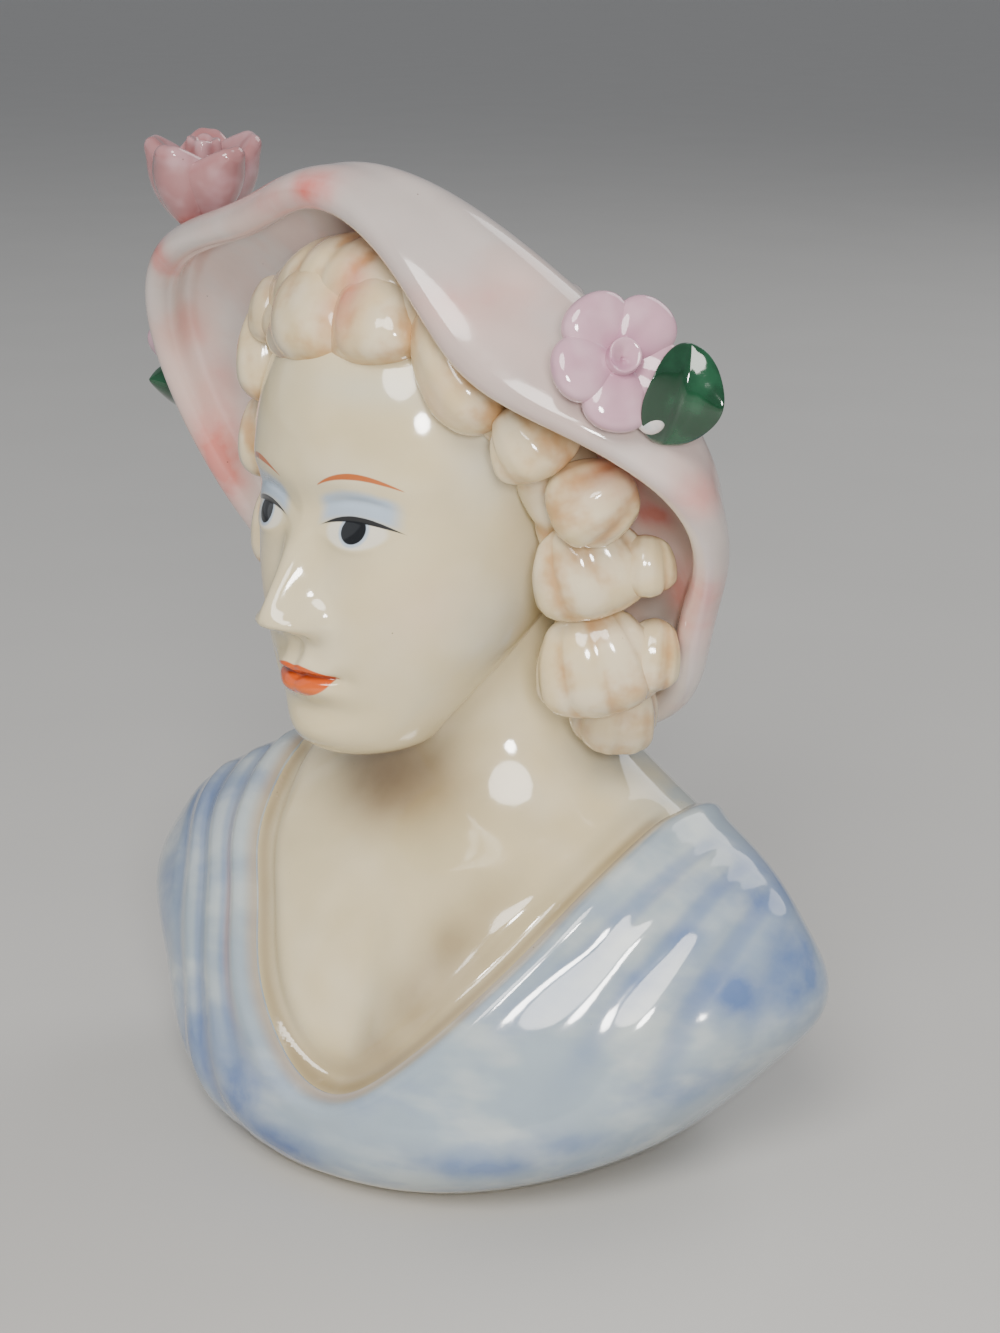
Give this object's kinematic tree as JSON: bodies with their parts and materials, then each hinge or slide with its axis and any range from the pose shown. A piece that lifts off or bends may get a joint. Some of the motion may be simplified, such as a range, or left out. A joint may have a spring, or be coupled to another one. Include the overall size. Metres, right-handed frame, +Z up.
{
  "type": "head vase",
  "caption": "Glazed ceramic bud vase shaped as a lady's bust in a wide wavy hat with applied flowers; hollow, flat foot, oval mouth in the hat's crown.",
  "frame": {"origin": "centre of the neck axis on the flat foot, on the table", "axes": "+Z up, the chest faces -Y, +X is the figure's left; the head is turned 14 degrees towards -X"},
  "size_m": [0.1237, 0.0694, 0.1448],
  "materials": {
    "skin_glaze": "clear gloss over ivory bisque, painted features",
    "dress_glaze": "clear gloss over pale blue spray",
    "hat_glaze": "clear gloss over pale pink spray",
    "hair_glaze": "clear gloss over cream and peach spray",
    "rose_glaze": "coloured gloss glaze",
    "lilac_glaze": "coloured gloss glaze",
    "leaf_glaze": "coloured gloss glaze"
  },
  "bodies": {
    "root": {"bust_shell": "skin_glaze", "head_shell": "skin_glaze", "dress_drape": "dress_glaze", "hat_crown": "hat_glaze", "hat_brim": "hat_glaze", "hair_band": "hair_glaze", "curl_brow_right": "hair_glaze", "curl_brow_left": "hair_glaze", "curl_temple_left": "hair_glaze", "curl_side_left_1": "hair_glaze", "curl_side_left_2": "hair_glaze", "curl_side_left_3": "hair_glaze", "curl_side_left_4": "hair_glaze", "curl_nape_left": "hair_glaze", "curl_temple_right": "hair_glaze", "curl_side_right_1": "hair_glaze", "curl_side_right_2": "hair_glaze", "rose_bud": "rose_glaze", "rose_petal_1": "rose_glaze", "rose_petal_2": "rose_glaze", "rose_petal_3": "rose_glaze", "rose_petal_4": "rose_glaze", "rose_petal_5": "rose_glaze", "left_blossom_centre": "lilac_glaze", "left_blossom_petal_1": "lilac_glaze", "left_blossom_petal_2": "lilac_glaze", "left_blossom_petal_3": "lilac_glaze", "left_blossom_petal_4": "lilac_glaze", "left_blossom_petal_5": "lilac_glaze", "left_blossom_leaf": "leaf_glaze", "right_blossom_centre": "lilac_glaze", "right_blossom_petal_1": "lilac_glaze", "right_blossom_petal_2": "lilac_glaze", "right_blossom_petal_3": "lilac_glaze", "right_blossom_petal_4": "lilac_glaze", "right_blossom_petal_5": "lilac_glaze", "right_blossom_leaf": "leaf_glaze"}
  },
  "joints": []
}
